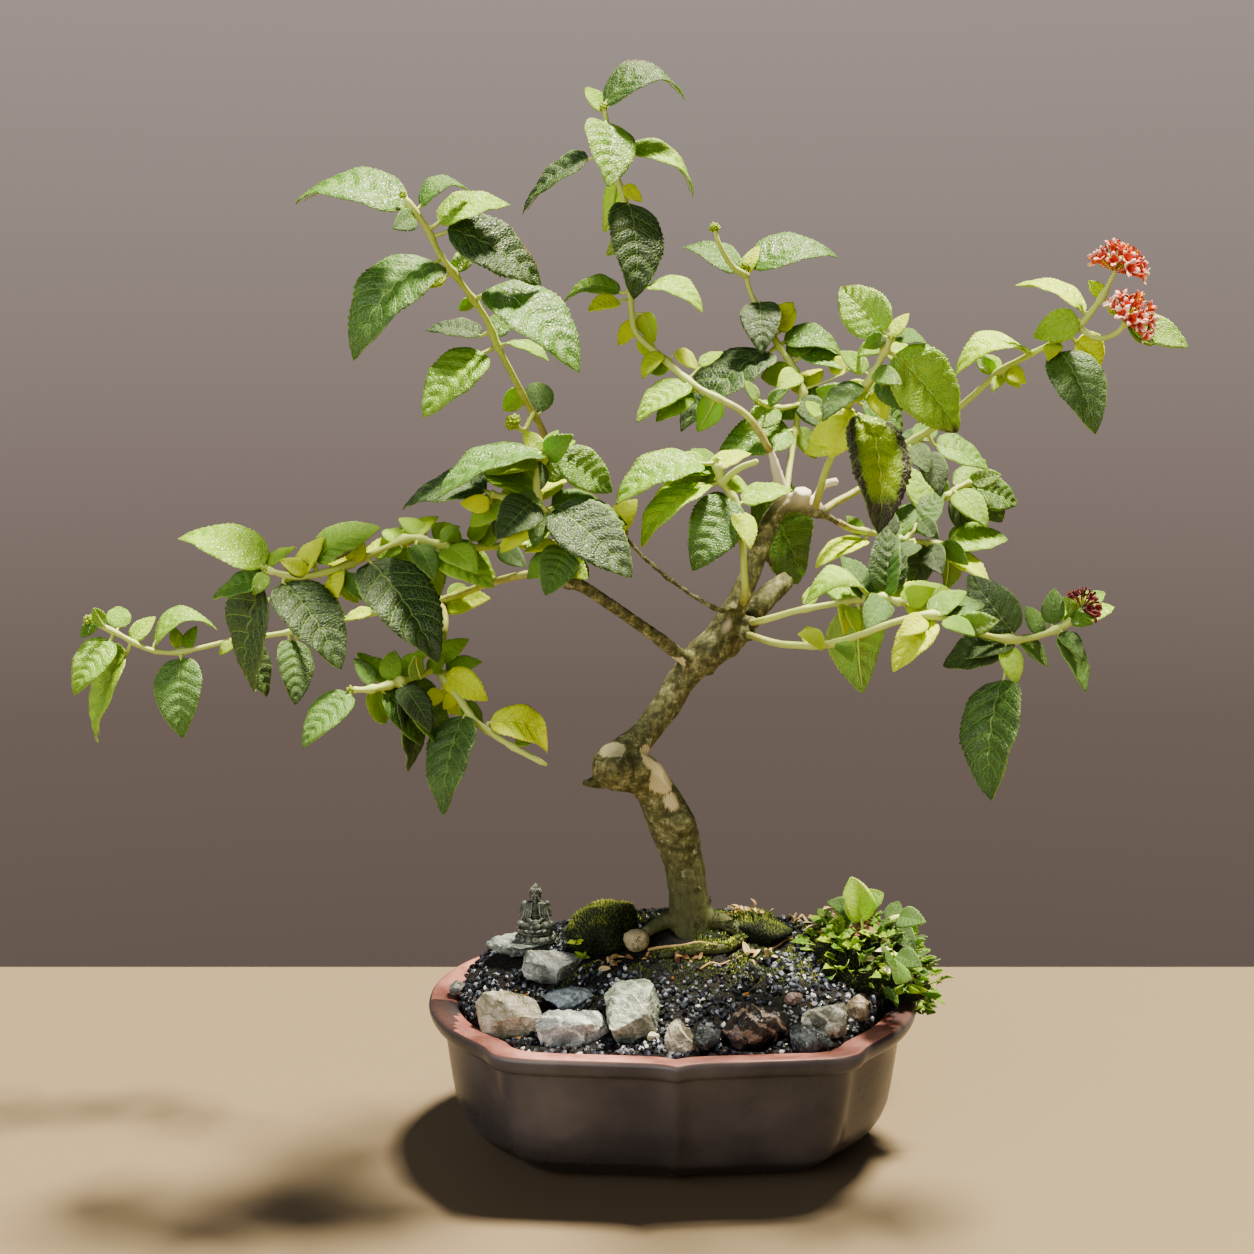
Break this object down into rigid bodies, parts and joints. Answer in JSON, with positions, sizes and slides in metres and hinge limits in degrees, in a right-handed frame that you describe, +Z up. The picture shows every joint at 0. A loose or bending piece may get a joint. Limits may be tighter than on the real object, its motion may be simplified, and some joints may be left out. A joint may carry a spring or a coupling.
{
  "type": "lantana bonsai",
  "caption": "Small lantana tree with toothed leaves and red flower heads in a lobed glazed pot, with gravel, stones, moss and a seated ornament.",
  "frame": {"origin": "middle of the pot's flat underside, on the surface it stands on", "axes": "+Z up; +X along the pot's length, to the right in the picture; -Y towards the picture's viewer"},
  "size_m": [0.4363, 0.1653, 0.4394],
  "materials": {
    "glaze": "gloss",
    "soil": "matte",
    "bark": "matte",
    "leaf": "satin",
    "weed": "satin",
    "petal": "matte",
    "petal_dark": "matte",
    "stone": "matte",
    "moss": "matte",
    "figure": "matte"
  },
  "bodies": {
    "root": {"flower_dark": "petal_dark", "flower_high": "petal", "flower_second": "petal", "moss_left": "moss", "moss_middle": "moss", "moss_right": "moss", "pot": "glaze", "seated_figure": "figure", "shoot_centre_left": "leaf", "shoot_centre_right": "leaf", "shoot_left_hanging": "leaf", "shoot_left_low": "leaf", "shoot_left_up": "leaf", "shoot_mid_top": "leaf", "shoot_right_flower": "leaf", "shoot_right_long": "leaf", "shoot_right_low": "leaf", "shoot_right_mid": "leaf", "shoot_top": "leaf", "shoot_upper_left": "leaf", "shoot_upright": "leaf", "soil": "soil", "stone_back_pale": "stone", "stone_blue_flat": "stone", "stone_brown_streaked": "stone", "stone_cream_long": "stone", "stone_cream_pebble": "stone", "stone_crumbly": "stone", "stone_dark_front": "stone", "stone_dark_right": "stone", "stone_figure_seat": "stone", "stone_front_pale": "stone", "stone_left_small": "stone", "stone_light_crumbly": "stone", "stone_pinkish": "stone", "stone_tall_grey": "stone", "stone_tan": "stone", "trunk": "bark", "weed_plant": "weed"}
  },
  "joints": []
}
